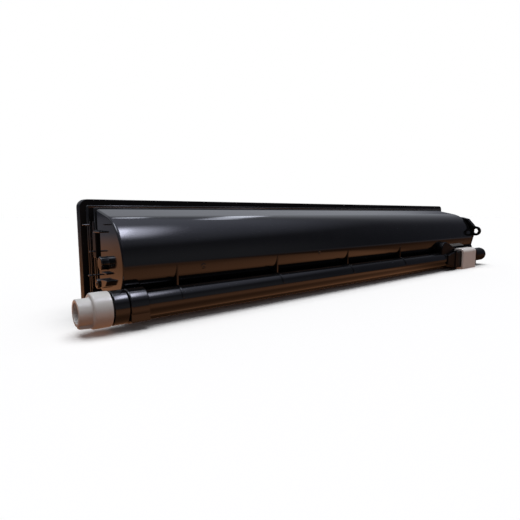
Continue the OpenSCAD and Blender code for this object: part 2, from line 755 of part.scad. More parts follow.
translate(-origin) {
    hopper_tub();
    hopper_lid();
    drive_end_collar();
    auger_bush_drive_end();
    auger_seal_drive_end();
    auger_seal_outlet_end();
    auger_bush_outlet_end();
    agitator_seal();
    agitator_bush();
    idler_pin();
    gear_cover();
    gear_cover_screws();
    outlet_seal();
    auger_screw();
    drive_coupling();
    thrust_washer();
    auger_gear();
    agitator_frame();
    agitator_film();
    agitator_gear();
    idler_gear();
    outlet_shutter();
}
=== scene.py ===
import math

import bmesh
import bpy
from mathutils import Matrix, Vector


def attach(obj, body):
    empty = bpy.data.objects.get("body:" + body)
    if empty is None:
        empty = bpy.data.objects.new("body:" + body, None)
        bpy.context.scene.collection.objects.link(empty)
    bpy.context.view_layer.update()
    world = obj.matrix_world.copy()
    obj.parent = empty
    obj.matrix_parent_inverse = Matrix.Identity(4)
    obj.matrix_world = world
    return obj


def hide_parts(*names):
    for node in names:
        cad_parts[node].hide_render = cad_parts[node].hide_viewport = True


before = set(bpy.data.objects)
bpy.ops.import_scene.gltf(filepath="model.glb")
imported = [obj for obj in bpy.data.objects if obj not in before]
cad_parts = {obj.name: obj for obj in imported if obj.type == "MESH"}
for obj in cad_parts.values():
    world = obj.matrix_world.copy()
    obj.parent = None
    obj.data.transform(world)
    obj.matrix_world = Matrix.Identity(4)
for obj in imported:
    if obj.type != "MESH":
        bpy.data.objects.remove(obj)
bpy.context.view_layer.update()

# Lengths are in millimetres in the working frame: X from the flange's drive end, Y = 0 at the
# flange's front face, Z = 0 at the table. V() turns them into metres in the object's own frame.
OX, OY = 226.9, -22.75

# Flange and lid
FL, FH, FT, FR = 450.0, 73.5, 2.5, 5.0
LID_Y0, LID_Y1, PANEL_T, RIM_T, LID_RIBS = 2.5, 8.3, 1.8, 2.2, 8
# Hopper: end walls, wall thickness, crown, belly and floor
WX0, WX1, WALL = 9.6, 443.2, 1.8
DEPTH, CR, BZ, BR, SLOPE, FLOOR = 43.5, 30.0, 34.0, 20.0, 12.0, 17.0
EDGE_R = 1.2
CC = (CR - DEPTH, BZ)
BC = (BR - DEPTH, BZ)
# Auger channel and the other axes along X
AX, CHR, BORE = (-43.0, 13.0), 7.9, 6.3
AG = (-17.0, 35.0)
IDLER = (-28.085, 19.325)
RING_R, RING_X0, RING_X1 = 10.0, 10.0, 21.0
GUSSET_X = [42.0 + 81.0 * n for n in range(5)]
GUSSET_T = 1.3
# Outlet block, port and shutter
BLK_X0, BLK_X1 = 387.5, 441.2
BLK_F, BLK_B, BLK_Z0, BLK_Z1, BLK_R = 51.3, 34.7, 2.6, 21.1, 2.0
PORT = ((421.5, 8.8), (430.5, 17.2))
PORT_RIM, SEAL_T = 1.6, 1.0
LIP_Y, LOW_LIP_Y, LIP_W, LIP_D, GAP = 44.4, 46.8, 1.4, 0.9, 0.3
SH_X0, SH_X1, SH_T = 401.0, 433.0, 2.2
# Gear cover and its bearing boss
CASE_X1, BOSS_X1, BOSS_R, COVER_T = 450.0, 470.0, 8.2, 1.5
EAR, EAR_R, EAR_HOLE = (-46.9, 42.8), 5.6, 2.9
SCREWS = [(-7.5, 56.0), (-6.5, 22.0), (-35.5, 47.0)]


def V(x, y, z):
    """Millimetres in the working frame to metres in the object's frame."""
    return Vector(((x - OX) / 1000.0, (y - OY) / 1000.0, z / 1000.0))


def polar(c, r, a):
    return (c[0] + r * math.cos(math.radians(a)), c[1] + r * math.sin(math.radians(a)))


def arc(c, r, a0, a1, n):
    return [polar(c, r, a0 + (a1 - a0) * k / n) for k in range(n + 1)]


# Angles of the hopper's section: crown's tangent, neck between belly and channel, dip of the floor
CROWN_A = 90.0 + SLOPE
NECK_A = math.degrees(math.atan2(AX[1] - BC[1], AX[0] - BC[0])) % 360.0
RISE = FLOOR - AX[1]
DIP = math.degrees(math.atan2(RISE, -AX[0]) + math.asin(CHR / math.hypot(AX[0], RISE)))
GROOVE_IN = polar(BC, BR, NECK_A)
GROOVE_OUT = polar(AX, CHR, NECK_A - 180.0)
GROOVE_N = (-math.sin(math.radians(NECK_A)), math.cos(math.radians(NECK_A)))


# Materials
def node_mat(name):
    """A new node material with its output, and the tree to build in."""
    m = bpy.data.materials.new(name)
    m.use_nodes = True
    nt = m.node_tree
    nt.nodes.clear()
    return m, nt, nt.nodes.new("ShaderNodeOutputMaterial")


def noise_node(nt, coord, scale, detail=3.0, rough=0.5, stretch=None):
    n = nt.nodes.new("ShaderNodeTexNoise")
    n.inputs["Scale"].default_value = scale
    n.inputs["Detail"].default_value = detail
    n.inputs["Roughness"].default_value = rough
    src = coord.outputs["Object"]
    if stretch:
        mp = nt.nodes.new("ShaderNodeMapping")
        mp.inputs["Scale"].default_value = stretch
        nt.links.new(src, mp.inputs[0])
        src = mp.outputs[0]
    nt.links.new(src, n.inputs["Vector"])
    return n


def ramp(nt, src, *stops):
    """A colour ramp with the given (position, colour) stops."""
    r = nt.nodes.new("ShaderNodeValToRGB")
    els = r.color_ramp.elements
    while len(els) < len(stops):
        els.new(0.5)
    for e, (pos, col) in zip(els, sorted(stops)):
        e.position = pos
        e.color = (*col, 1.0) if isinstance(col, tuple) else (col, col, col, 1.0)
    nt.links.new(src, r.inputs[0])
    return r.outputs[0]


def bump(nt, height, strength, distance, below=None):
    b = nt.nodes.new("ShaderNodeBump")
    b.inputs["Strength"].default_value = strength
    b.inputs["Distance"].default_value = distance
    nt.links.new(height, b.inputs["Height"])
    if below:
        nt.links.new(below, b.inputs["Normal"])
    return b.outputs[0]


# Noise scales of the plastics: clouds of colour, dust, smears of gloss and waves of the surface.
# Smears and waves are stretched along the moulding.
CLOUD, DUST, SMEAR, WAVE = 60.0, 2300.0, 26.0, 22.0
DUST_COLOR = (0.35, 0.34, 0.32, 1.0)
ALONG_X = (0.35, 1.0, 1.0)


def plastic(name, dark, light, rough, spread, wave=0.0, grain=0.0, fine=900.0, speck=0.0,
            metallic=0.0, ior=1.5):
    """Moulded plastic: uneven colour and gloss, soft waviness, fine grain and stray specks."""
    m, nt, out = node_mat(name)
    b = nt.nodes.new("ShaderNodeBsdfPrincipled")
    b.inputs["IOR"].default_value = ior
    nt.links.new(b.outputs[0], out.inputs[0])
    tc = nt.nodes.new("ShaderNodeTexCoord")
    base = ramp(nt, noise_node(nt, tc, CLOUD, 4.0, 0.6).outputs["Fac"], (0.3, dark), (0.75, light))
    if speck > 0:
        dust = noise_node(nt, tc, DUST, 1.0, 0.4).outputs["Fac"]
        mix = nt.nodes.new("ShaderNodeMix")
        mix.data_type = "RGBA"
        nt.links.new(ramp(nt, dust, (0.745, 0.0), (0.785, speck)), mix.inputs["Factor"])
        nt.links.new(base, mix.inputs["A"])
        mix.inputs["B"].default_value = DUST_COLOR
        base = mix.outputs["Result"]
    nt.links.new(base, b.inputs["Base Color"])
    smear = noise_node(nt, tc, SMEAR, 5.0, 0.62, ALONG_X).outputs["Fac"]
    gloss = ramp(nt, smear, (0.3, max(0.0, rough - spread)), (0.72, rough + spread))
    nt.links.new(gloss, b.inputs["Roughness"])
    b.inputs["Metallic"].default_value = metallic
    normal = None
    if wave:
        normal = bump(nt, noise_node(nt, tc, WAVE, 2.0, 0.4, ALONG_X).outputs["Fac"], wave, 0.002)
    if grain:
        normal = bump(nt, noise_node(nt, tc, fine, 2.0, 0.6).outputs["Fac"], grain, 0.0002, normal)
    if normal:
        nt.links.new(normal, b.inputs["Normal"])
    return m


M_BLACK = plastic("black_gloss", (0.0035, 0.0035, 0.004), (0.0055, 0.0055, 0.006), 0.10, 0.04,
                  wave=0.03, grain=0.03, speck=0.05)
M_DULL = plastic("black_dull", (0.0025, 0.0025, 0.003), (0.0045, 0.0045, 0.005), 0.32, 0.06,
                 wave=0.03, grain=0.08, speck=0.04, ior=1.24)
M_GREY = plastic("grey_moulded", (0.53, 0.525, 0.52), (0.59, 0.585, 0.58), 0.23, 0.05,
                 grain=0.10, fine=1400.0, speck=0.10)
M_PALE = plastic("pale_moulded", (0.71, 0.68, 0.665), (0.78, 0.755, 0.74), 0.36, 0.08,
                 grain=0.12, fine=1400.0)
M_NAT = plastic("natural_acetal", (0.66, 0.64, 0.57), (0.74, 0.72, 0.66), 0.35, 0.08,
                grain=0.12, fine=1200.0)
M_FILM = plastic("blade_film", (0.42, 0.50, 0.55), (0.50, 0.58, 0.62), 0.12, 0.05, grain=0.05)
M_FOAM = plastic("seal_foam", (0.028, 0.028, 0.032), (0.06, 0.06, 0.065), 0.92, 0.05,
                 grain=0.9, fine=2600.0)
M_STEEL = plastic("zinc_steel", (0.50, 0.50, 0.52), (0.62, 0.62, 0.64), 0.28, 0.10,
                  grain=0.10, metallic=1.0, fine=1800.0)

NODE_MATS = {
    M_BLACK: ["hopper_tub", "drive_end_collar"],
    M_DULL: ["hopper_lid", "gear_cover"],
    M_GREY: ["drive_coupling"],
    M_PALE: ["outlet_shutter"],
    M_NAT: ["auger_bush_drive_end", "auger_bush_outlet_end", "agitator_bush", "auger_gear",
            "agitator_gear", "idler_gear", "auger_screw", "agitator_frame"],
    M_FILM: ["agitator_film"],
    M_FOAM: ["auger_seal_drive_end", "auger_seal_outlet_end", "agitator_seal", "outlet_seal"],
    M_STEEL: ["idler_pin", "gear_cover_screws", "thrust_washer"],
}
for mat, names in NODE_MATS.items():
    for key in names:
        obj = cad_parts[key]
        if not obj.material_slots:
            obj.data.materials.append(mat)
        for s in obj.material_slots:
            s.material = mat


# Mesh helpers
class Part:
    """Gathers solids in millimetres into one object."""

    def __init__(self):
        self.bm = bmesh.new()

    def add(self, other):
        me = bpy.data.meshes.new("tmp")
        other.to_mesh(me)
        self.bm.from_mesh(me)
        bpy.data.meshes.remove(me)
        other.free()

    def loft(self, rings, closed=False):
        """Skins a row of rings with as many points each: with end caps, or closed into a loop."""
        bm = bmesh.new()
        vs = [[bm.verts.new(p) for p in r] for r in rings]
        n = len(rings[0])
        pairs = list(zip(vs, vs[1:]))
        if closed:
            pairs.append((vs[-1], vs[0]))
        for a, b in pairs:
            for k in range(n):
                q = [a[k], a[(k + 1) % n], b[(k + 1) % n], b[k]]
                if len({v.co.to_tuple(5) for v in q}) >= 3:
                    bm.faces.new(q)
        if not closed:
            bm.faces.new(list(reversed(vs[0])))
            bm.faces.new(vs[-1])
        bmesh.ops.remove_doubles(bm, verts=bm.verts, dist=1e-4)
        bmesh.ops.recalc_face_normals(bm, faces=bm.faces)
        self.add(bm)

    def prism(self, pts, lo, hi, axis="x", bevel=0.3, seg=2, sharp=25.0):
        """Extrudes an outline along an axis and rounds its edges. Outline order: the other two axes."""
        bm = bmesh.new()

        def put(u, v, w):
            return {"x": (w, u, v), "y": (u, w, v), "z": (u, v, w)}[axis]

        bot = [bm.verts.new(put(u, v, lo)) for u, v in pts]
        top = [bm.verts.new(put(u, v, hi)) for u, v in pts]
        n = len(pts)
        bm.faces.new(list(reversed(bot)))
        bm.faces.new(top)
        for k in range(n):
            bm.faces.new([bot[k], bot[(k + 1) % n], top[(k + 1) % n], top[k]])
        bmesh.ops.remove_doubles(bm, verts=bm.verts, dist=1e-4)
        bmesh.ops.recalc_face_normals(bm, faces=bm.faces)
        if bevel > 0:
            edges = [e for e in bm.edges if len(e.link_faces) == 2
                     and math.degrees(e.calc_face_angle(0.0)) > sharp]
            bmesh.ops.bevel(bm, geom=edges, offset=bevel, segments=seg, profile=0.5,
                            affect="EDGES", clamp_overlap=True)
        self.add(bm)

    def box(self, a, b, bevel=0.3, seg=2):
        self.prism([(a[1], a[2]), (b[1], a[2]), (b[1], b[2]), (a[1], b[2])], a[0], b[0], "x", bevel, seg)

    def turned(self, c, corners, seg=72):
        """Solid of revolution about an axis along X, from (radius, x, rounding) corners."""
        prof = round_corners([(r, x) for r, x, f in corners], [f for r, x, f in corners], 4)
        bm = bmesh.new()
        rings = []
        for k in range(seg):
            t = math.tau * k / seg
            cos, sin = math.cos(t), math.sin(t)
            rings.append([bm.verts.new((x, c[0] + r * cos, c[1] + r * sin)) for r, x in prof])
        for a, b in zip(rings, rings[1:] + rings[:1]):
            for k in range(len(prof)):
                j = (k + 1) % len(prof)
                if prof[k][0] > 1e-6 or prof[j][0] > 1e-6:
                    bm.faces.new([a[k], a[j], b[j], b[k]])
        bmesh.ops.remove_doubles(bm, verts=bm.verts, dist=1e-4)
        bmesh.ops.recalc_face_normals(bm, faces=bm.faces)
        self.add(bm)

    def rod(self, c, r, x0, x1, seg):
        """A plain round bar along X."""
        self.turned(c, [(0, x0, 0), (r, x0, 0), (r, x1, 0), (0, x1, 0)], seg)

    def cut(self, cutter):
        """Takes another part's solids out of this one."""
        obs = []
        for part in (self, cutter):
            me = bpy.data.meshes.new("tmp")
            part.bm.to_mesh(me)
            part.bm.free()
            obs.append(bpy.data.objects.new("tmp", me))
            bpy.context.scene.collection.objects.link(obs[-1])
        md = obs[0].modifiers.new("cut", "BOOLEAN")
        md.operation = "DIFFERENCE"
        md.solver = "EXACT"
        md.use_self = True
        md.object = obs[1]
        bpy.context.view_layer.update()
        graph = bpy.context.evaluated_depsgraph_get()
        result = bpy.data.meshes.new_from_object(obs[0].evaluated_get(graph))
        self.bm = bmesh.new()
        self.bm.from_mesh(result)
        bpy.data.meshes.remove(result)
        for ob in obs:
            me = ob.data
            bpy.data.objects.remove(ob)
            bpy.data.meshes.remove(me)

    def done(self, name, mat, body, sharp=32.0, replaces=(), mirrored=True):
        """Makes the object. Large faces lead the normals, so that a rounded edge doesn't tilt them.

        A piece that isn't mirrored stays out of the reflections in the black gloss round it.
        """
        for v in self.bm.verts:
            v.co = V(*v.co)
        me = bpy.data.meshes.new(name)
        self.bm.to_mesh(me)
        self.bm.free()
        for p in me.polygons:
            p.use_smooth = True
        me.set_sharp_from_angle(angle=math.radians(sharp))
        me.materials.clear()
        me.materials.append(mat)
        for p in me.polygons:
            p.material_index = 0
        ob = bpy.data.objects.new(name, me)
        bpy.context.scene.collection.objects.link(ob)
        md = ob.modifiers.new("normals", "WEIGHTED_NORMAL")
        md.mode = "FACE_AREA"
        md.keep_sharp = True
        ob.visible_glossy = mirrored
        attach(ob, body)
        if replaces:
            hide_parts(*replaces)
        return ob


def round_corners(pts, radii, n=4):
    """Rounds each corner of a closed outline by its own radius."""
    out = []
    for k, (pt, f) in enumerate(zip(pts, radii)):
        if f <= 0:
            out.append(tuple(pt))
            continue
        p, a, b = Vector(pt), Vector(pts[k - 1]), Vector(pts[(k + 1) % len(pts)])
        u, w = (a - p).normalized(), (b - p).normalized()
        ang = u.angle(w)
        d = min(f / math.tan(ang / 2), (a - p).length * 0.49, (b - p).length * 0.49)
        rr = d * math.tan(ang / 2)
        c = p + (u + w).normalized() * (rr / math.sin(ang / 2))
        s, e = p + u * d - c, p + w * d - c
        a0 = math.degrees(math.atan2(s.y, s.x))
        turn = (math.degrees(math.atan2(e.y, e.x)) - a0 + 180.0) % 360.0 - 180.0
        out += arc(c, rr, a0, a0 + turn, n)
    return out


def rounded(pts, r, n=3):
    return round_corners(pts, [r] * len(pts), n)


# Hopper
def top_z(i):
    """Height of the hopper's top skin at the flange, for a skin set in by i."""
    ca = math.radians(CROWN_A)
    return CC[1] + (CR - i + CC[0] * math.cos(ca)) / math.sin(ca)


def shifted(p, i):
    return (p[0] + GROOVE_N[0] * i, p[1] + GROOVE_N[1] * i)


# Radius of the channel's throat, which opens into the hopper under the ridge
THROAT_R = 6.5
# Low gate marks on the belly: place along the hopper and height
GATES = [(61.0, 31.5), (168.5, 33.5)]
# Rings of a gate mark from its foot to its dimple: radius, height over the belly
GATE_RINGS = [(1.9, -0.4), (1.8, 0.1), (1.4, 0.35), (0.8, 0.35), (0.5, 0.12)]


def skin_outline(i):
    """The hopper's outer section, set in by i: always the same number of points."""
    pts = [(0.0, top_z(i))]
    pts += arc(CC, CR - i, CROWN_A, 180.0, 56)
    pts += arc(BC, BR - i, 180.0, NECK_A, 20)[1:]
    pts += [shifted(GROOVE_IN, i), shifted(GROOVE_OUT, i)]
    pts += arc(AX, THROAT_R, NECK_A - 180.0, DIP - 90.0, 14)
    pts += [polar(AX, CHR - i, DIP - 90.0), (0.0, FLOOR + i / math.cos(math.radians(DIP)))]
    return pts


def shell_outline():
    """The hopper's wall between its end walls: out along the skin and back along the hollow."""
    inner_r = THROAT_R + 0.9
    foot = DIP - 90.0 + math.degrees(math.acos((CHR - WALL) / inner_r))
    mouth = shifted(GROOVE_OUT, WALL)
    mouth_a = math.degrees(math.atan2(mouth[1] - AX[1], mouth[0] - AX[0]))
    hollow = [(0.0, top_z(WALL))]
    hollow += arc(CC, CR - WALL, CROWN_A, 180.0, 40)
    hollow += arc(BC, BR - WALL, 180.0, NECK_A, 14)[1:]
    hollow += [shifted(GROOVE_IN, WALL), mouth]
    hollow += arc(AX, inner_r, mouth_a, foot, 10)
    hollow += [(0.0, FLOOR + WALL / math.cos(math.radians(DIP)))]
    return skin_outline(0.0) + hollow[::-1]


def on_x(pts, x):
    return [(x, y, z) for y, z in pts]


def end_wall(part, x0, x1):
    """An end wall from its rounded outer edge at x0 to its full section at x1."""
    sign = 1.0 if x1 > x0 else -1.0
    rings = []
    for k in range(7):
        t = math.radians(90.0 * k / 6)
        inset = EDGE_R * (1 - math.sin(t))
        rings.append(on_x(skin_outline(inset), x0 + sign * EDGE_R * (1 - math.cos(t))))
    rings.append(on_x(skin_outline(0.0), x1))
    part.loft(rings)


def make_hopper():
    part = Part()
    end_wall(part, WX0, WX0 + WALL)
    end_wall(part, WX1, WX1 - WALL)
    steps = 40
    x0, x1 = WX0 + WALL, WX1 - WALL
    part.loft([on_x(shell_outline(), x0 + (x1 - x0) * k / steps) for k in range(steps + 1)])
    for x, z in GATES:
        gate_mark(part, x, z)
    part.done("tub_hopper", M_BLACK, "housing", sharp=38.0, replaces=("hopper_tub",))


def gate_mark(part, x, z):
    """A low round moulding mark on the belly."""
    a = 180.0 + math.degrees(math.asin((BZ - z) / BR))
    out = Vector((0.0, *polar((0, 0), 1.0, a)))
    c = Vector((x, *polar(BC, BR, a)))
    along = Vector((1, 0, 0))
    side = out.cross(along)
    turns = [math.tau * k / 24 for k in range(24)]
    part.loft([[tuple(c + out * h + along * (r * math.cos(t)) + side * (r * math.sin(t))) for t in turns]
               for r, h in GATE_RINGS])


def plate_ring(inset, y, n=10):
    """Rounded rectangle round the flange, set in by inset."""
    r = FR - min(inset, FR - 1)
    return rect_ring(inset, FL - inset, inset, FH - inset, r, y, n)


def rect_ring(x0, x1, z0, z1, r, y, n=10):
    pts = []
    lo, hi = (x0 + r, z0 + r), (x1 - r, z1 - r)
    for c, a in ((hi, 0), ((lo[0], hi[1]), 90), (lo, 180), ((hi[0], lo[1]), 270)):
        pts += [(x, y, z) for x, z in arc(c, r, a, a + 90, n)]
    return pts


def mouth_ring(y, grow=0.0, r=0.6):
    """The tub's open mouth in the flange, made larger by grow."""
    z0 = FLOOR + WALL / math.cos(math.radians(DIP))
    return rect_ring(WX0 + WALL - grow, WX1 - WALL + grow, z0 - grow, top_z(WALL) + grow, r, y)


def make_flange():
    part = Part()
    f = 0.5
    part.loft([mouth_ring(0.0), plate_ring(f, 0.0), plate_ring(f * 0.3, f * 0.3), plate_ring(0.0, f),
               plate_ring(0.0, FT - 0.3), plate_ring(0.3, FT), mouth_ring(FT)], closed=True)
    part.done("tub_flange", M_DULL, "housing", sharp=50.0, mirrored=False)
    edge = Part()
    bead(edge)
    edge.done("tub_bead", M_BLACK, "housing", sharp=50.0, mirrored=False)
    root = Part()
    x0, x1, z0, z1 = WX0 - 1.4, WX1 + 1.4, FLOOR + 2.0, top_z(0.0) + 0.7
    hole = [mouth_ring(0.05), mouth_ring(-1.4)]
    root.loft([rect_ring(x0, x1, z0, z1, 0.3, 0.05), rect_ring(x0, x1, z0, z1, 0.3, -1.0),
               rect_ring(x0 + 0.12, x1 - 0.12, z0 + 0.12, z1 - 0.12, 0.3, -1.28),
               rect_ring(x0 + 0.4, x1 - 0.4, z0 + 0.4, z1 - 0.4, 0.3, -1.4)] + hole[::-1], closed=True)
    root.done("tub_root", M_BLACK, "housing", sharp=40.0, mirrored=False)


# The flange's bead: its inset from the flange's edge, its corner radius and its section
BEAD_IN, BEAD_R = 3.8, 1.2
BEAD = [(0.0, 0.1), (0.0, -0.5), (0.12, -0.72), (0.3, -0.8),
        (0.8, -0.8), (0.98, -0.72), (1.1, -0.5), (1.1, 0.1)]


def bead(part):
    """The bead along the flange's two ends and its top, swept with a rounded section."""
    lo = BEAD_IN + BEAD_R
    x1, z1 = FL - BEAD_IN - BEAD_R, FH - BEAD_IN - BEAD_R
    path = [(WX0, BEAD_IN)]
    for c, a in (((lo, lo), 270), ((lo, z1), 180), ((x1, z1), 90), ((x1, lo), 0)):
        path += arc(c, BEAD_R, a, a - 90, 5)
    path.append((WX1, BEAD_IN))
    mid = Vector((FL / 2, FH / 2))
    rings = []
    for k, p in enumerate(path):
        t = Vector(path[min(k + 1, len(path) - 1)]) - Vector(path[max(k - 1, 0)])
        nrm = Vector((-t.y, t.x)).normalized()
        if nrm.dot(mid - Vector(p)) < 0:
            nrm.negate()
        rings.append([(p[0] + nrm.x * u, y, p[1] + nrm.y * u) for u, y in BEAD])
    part.loft(rings)


def make_channel():
    """The auger's tube with its thick ring, foot and guide rail, and the port in its front."""
    part = Part()
    part.turned(AX, [(BORE, 2.0, 0), (CHR, 2.0, 0.4), (CHR, WX1, 0.3), (BORE, WX1, 0)], 128)
    port = Part()
    port.box((PORT[0][0], -BLK_F - 5, PORT[0][1]), (PORT[1][0], AX[0], PORT[1][1]), 0.0)
    part.cut(port)
    part.turned(AX, [(BORE + 0.8, RING_X0, 0), (RING_R, RING_X0, 0.9), (RING_R, RING_X1, 0.9),
                     (BORE + 0.8, RING_X1, 0)], 112)
    front, back = -RING_R + 0.6, RING_R - 1
    foot = [(front, -CHR), (back, -CHR), (back, -7.0), (6.9, 0.0), (front, -1.0)]
    hole = Part()
    hole.rod(AX, BORE + 0.8, RING_X0 - 2, RING_X1 + 2, 64)
    base = Part()
    base.prism([(AX[0] + u, AX[1] + v) for u, v in foot], RING_X0, RING_X1, "x", 0.6, 3, 40.0)
    base.cut(hole)
    part.add(base.bm)
    z = AX[1] - CHR
    part.box((RING_X1 - 0.4, AX[0] - 1.2, z - 1.6), (BLK_X0 - 3.0, AX[0] + 1.2, z + 0.8), 0.35)
    part.done("tub_channel", M_BLACK, "housing", sharp=40.0)


def make_gussets():
    """Gussets between the belly and the channel, each with the low rib it carries on over the channel."""
    part = Part()
    front = -DEPTH - 0.1
    web = arc(BC, BR - 0.5, NECK_A - 2.0, 180.0, 12)
    web += [(front, BZ), (front, AX[1] + CHR - 1.0), (GROOVE_OUT[0] + 0.3, GROOVE_OUT[1] - 0.6)]
    band = arc(AX, CHR + 0.6, 60.0, 168.0, 24) + arc(AX, CHR - 0.8, 168.0, 60.0, 10)
    for x in GUSSET_X:
        part.prism(web, x, x + GUSSET_T, "x", 0.22, 2, 40.0)
        part.prism(band, x, x + GUSSET_T, "x", 0.25, 3, 40.0)
    part.done("tub_gussets", M_BLACK, "housing", sharp=35.0)


# Rungs on the drive end: height, and the two ends along X. Their front edges are out of line with
# the flange by RUNG_LEAN.
RUNGS = [(25.4, 2.8, 9.7), (40.4, 4.0, 8.4), (53.4, 7.0, 9.7), (57.2, 0.8, 5.6)]
RUNG_Y, RUNG_T, RUNG_LEAN = -2.4, 0.9, 0.055
RAIL_X, RAIL_W, RAIL_Y, RAIL_Z = (WX0 - 4.9, WX0 - 2.6), 0.8, -2.2, (18, 59.5)
# The peg on the drive end wall, with its stepped profile, and the hook beside it
PEG = (-9.5, 21.5)
PEG_PROFILE = [(0, 4.6, 0), (1.2, 4.6, 0.3), (1.2, 5.0, 0), (3.0, 5.0, 0.6), (3.0, 9.9, 0), (0, 9.9, 0)]
HOOK = [(0, -2.8), (0, 2.8), (-16.5, 3.9), (-12.5, 0.1)]


def make_drive_details():
    """The drive end wall's rails and pad, and its rungs, ledges, peg, hook and agitator boss."""
    rails = Part()
    for x in RAIL_X:
        rails.box((x, RAIL_Y, RAIL_Z[0]), (x + RAIL_W, 0.1, RAIL_Z[1]), 0.25)
    rails.box((WX0 - 3, -6, 37), (WX0 + 0.3, 0.1, 53), 0.5, 3)
    rails.done("tub_drive_rails", M_DULL, "housing", sharp=35.0, mirrored=False)
    part = Part()
    for z, x0, x1 in RUNGS:
        outline = [(x0, 0.1), (x0, RUNG_Y), (x1, RUNG_Y + RUNG_LEAN * (x1 - x0)), (x1, 0.1)]
        part.prism(outline, z, z + RUNG_T, "z", 0.4, 4)
    part.box((WX0 - 3, -14, 53), (WX0 + 0.3, -2, 54), 0.3)
    part.box((WX0 - 2.4, -22, 28.4), (WX0 + 0.3, -13, 29.4), 0.3)
    part.turned(PEG, PEG_PROFILE, 48)
    hook = [(PEG[0] + u, PEG[1] + v) for u, v in HOOK]
    part.prism(rounded(hook, 0.5), WX0 - 3.4, WX0 + 0.3, "x", 0.4, 3, 40.0)
    part.turned(AG, [(0, 5.0, 0), (4.0, 5.0, 0.7), (4.0, 9.0, 0), (4.5, 9.9, 0), (0, 9.9, 0)], 56)
    part.done("tub_drive_details", M_BLACK, "housing", sharp=35.0)


def block_outline(g, c_r):
    """Section of the outlet block made larger by g, with its upper front corner rounded by c_r."""
    y0, z0, z1 = -BLK_F - g, BLK_Z0 - g, BLK_Z1 + g
    return [(-BLK_B, z0), (-BLK_B, z1)] + arc((y0 + c_r, z1 - c_r), c_r, 90, 180, 8) + [(y0, z0)]


def make_outlet_block():
    """The block round the channel at the outlet, with its port, grooves, stop, flare and hump."""
    part = Part()
    part.prism(block_outline(0.0, BLK_R), BLK_X0, BLK_X1, "x", 0.3, 2, 40.0)
    tools = Part()
    tools.rod(AX, BORE + 0.6, BLK_X0 - 1, BLK_X1 + 1, 96)
    part.cut(tools)
    (px0, pz0), (px1, pz1) = PORT
    rim, x0, x1 = PORT_RIM, BLK_X0 - 1, BLK_X1 + 1
    slots = Part()
    slots.box((px0, -BLK_F - 5, pz0), (px1, AX[0], pz1), 0.0)
    slots.box((px0 - rim, -BLK_F - 5, pz0 - rim), (px1 + rim, -BLK_F + SEAL_T, pz1 + rim), 0.0)
    slots.box((x0, -LIP_Y - GAP, BLK_Z1 - LIP_D), (x1, -LIP_Y + LIP_W + GAP, BLK_Z1 + 2), 0.0)
    slots.box((x0, -LOW_LIP_Y - GAP, BLK_Z0 - 2), (x1, -LOW_LIP_Y + LIP_W + GAP, BLK_Z0 + LIP_D), 0.0)
    part.cut(slots)
    stop = Part()
    stop.box((BLK_X0 - 3.0, -BLK_F - 1.4, BLK_Z0 - 1.2), (BLK_X0 + 0.02, -BLK_B, BLK_Z1 + 1.2), 0.45, 3)
    flare_x, wide_x = BLK_X0 - 19, BLK_X0 - 2.8
    stop.prism([(flare_x, 8.1), (wide_x, BLK_Z0), (wide_x, BLK_Z1 - 0.4), (flare_x, 18.1)],
               -BLK_F - 0.6, AX[0], "y", 0.5, 3)
    top = BLK_Z1 + 2 * GAP + SH_T
    c, r = (flare_x, BLK_Z1 + 3.7), 8.0
    hump = [(BLK_X0 - 3, AX[1]), (BLK_X0 - 3, top), (BLK_X0 + 6.5, top)]
    hump += arc(c, r, 70, 180, 24) + [(c[0] - r, AX[1])]
    stop.prism(hump, -DEPTH - 5, -DEPTH + 4, "y", 1.0, 4, 30.0)
    hollow = Part()
    hollow.rod(AX, BORE + 0.6, BLK_X0 - 40, BLK_X0 + 9, 96)
    stop.cut(hollow)
    part.add(stop.bm)
    part.done("tub_outlet_block", M_DULL, "housing", sharp=35.0)


def make_lid():
    """The lid: a panel with a tongue in the tub's mouth, and a rim with ribs on its back."""
    part = Part()
    f = 0.7
    part.loft([plate_ring(0.3, LID_Y0), plate_ring(0.0, LID_Y0 + 0.3), plate_ring(0.0, LID_Y1 - f),
               plate_ring(f * 0.3, LID_Y1 - f * 0.3), plate_ring(f, LID_Y1), plate_ring(RIM_T - 0.3, LID_Y1),
               plate_ring(RIM_T, LID_Y1 - 0.3), plate_ring(RIM_T, LID_Y0 + PANEL_T + 0.3),
               plate_ring(RIM_T + 0.3, LID_Y0 + PANEL_T)])
    pitch = (FL - 2 * RIM_T) / (LID_RIBS + 1)
    rib_y0, rib_y1 = LID_Y0 + PANEL_T - 0.5, LID_Y0 + PANEL_T + 2.0
    for n in range(1, LID_RIBS + 1):
        x = RIM_T + n * pitch
        part.box((x - 0.7, rib_y0, RIM_T - 0.7), (x + 0.7, rib_y1, FH - RIM_T + 0.7), 0.3)
    part.box((RIM_T - 0.7, rib_y0, FH / 2 - 0.7), (FL - RIM_T + 0.7, rib_y1, FH / 2 + 0.7), 0.3)
    part.loft([mouth_ring(LID_Y0 + 0.1, -GAP), mouth_ring(0.9, -GAP), mouth_ring(0.6, -GAP - 0.3),
               mouth_ring(0.6, -GAP - 1.5), mouth_ring(LID_Y0 + 0.1, -GAP - 1.5)], closed=True)
    part.done("lid_panel", M_DULL, "housing", sharp=40.0, replaces=("hopper_lid",),
              mirrored=False)


def make_collar():
    part = Part()
    part.turned(AX, [(6.7, 1.5, 0), (9.7, 1.5, 0.5), (9.7, WX0 - 0.02, 0.5), (7.92, WX0 - 0.02, 0),
                     (7.92, 1.99, 0), (6.7, 1.99, 0)], 112)
    part.done("collar_ring", M_BLACK, "housing", sharp=40.0,
              replaces=("drive_end_collar",))


